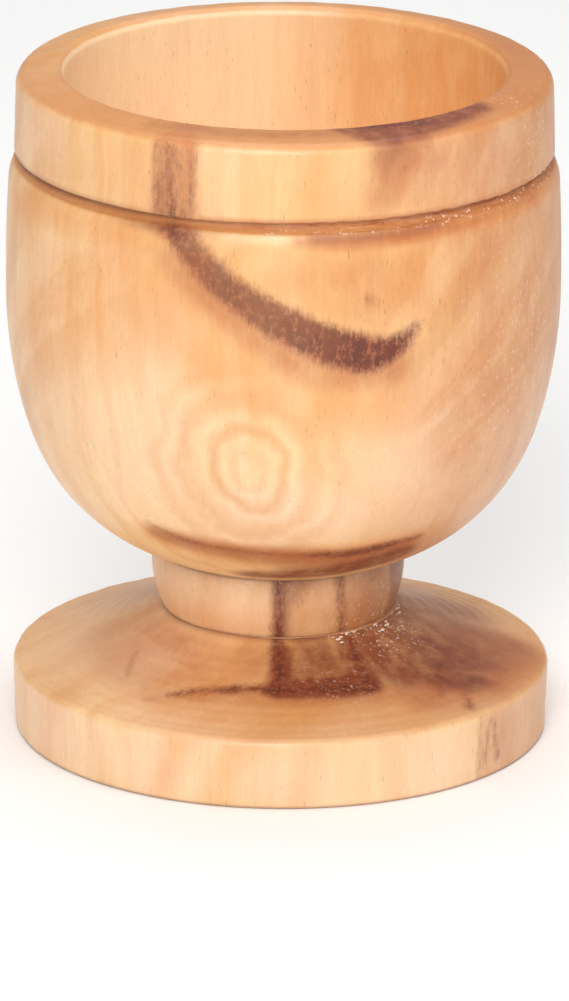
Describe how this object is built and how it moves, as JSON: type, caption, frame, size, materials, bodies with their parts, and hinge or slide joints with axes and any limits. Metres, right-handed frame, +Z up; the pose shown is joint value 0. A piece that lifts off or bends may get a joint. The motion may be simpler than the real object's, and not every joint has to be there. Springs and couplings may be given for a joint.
{
  "type": "communion chalice",
  "caption": "Small turned wooden communion cup: round bowl with a grooved rim band on a short stem and a disc foot, glued at round tenons.",
  "frame": {"origin": "centre of the foot's underside, on the plane the cup rests on", "axes": "+Z up along the cup's turning axis, from the foot to the lip; the cup is round about Z, and +X runs along the label under the foot"},
  "size_m": [0.0378, 0.0378, 0.0468],
  "materials": {
    "bowl_wood": "turned olive wood, oiled satin",
    "stem_wood": "turned olive wood, oiled satin",
    "foot_wood": "turned olive wood, oiled satin",
    "set_glue": "set wood glue",
    "gold_foil": "satin gold foil on paper, no print"
  },
  "bodies": {
    "root": {"bowl": "bowl_wood", "stem": "stem_wood", "foot": "foot_wood", "bowl_glue": "set_glue", "foot_glue": "set_glue", "label": "gold_foil"}
  },
  "joints": []
}
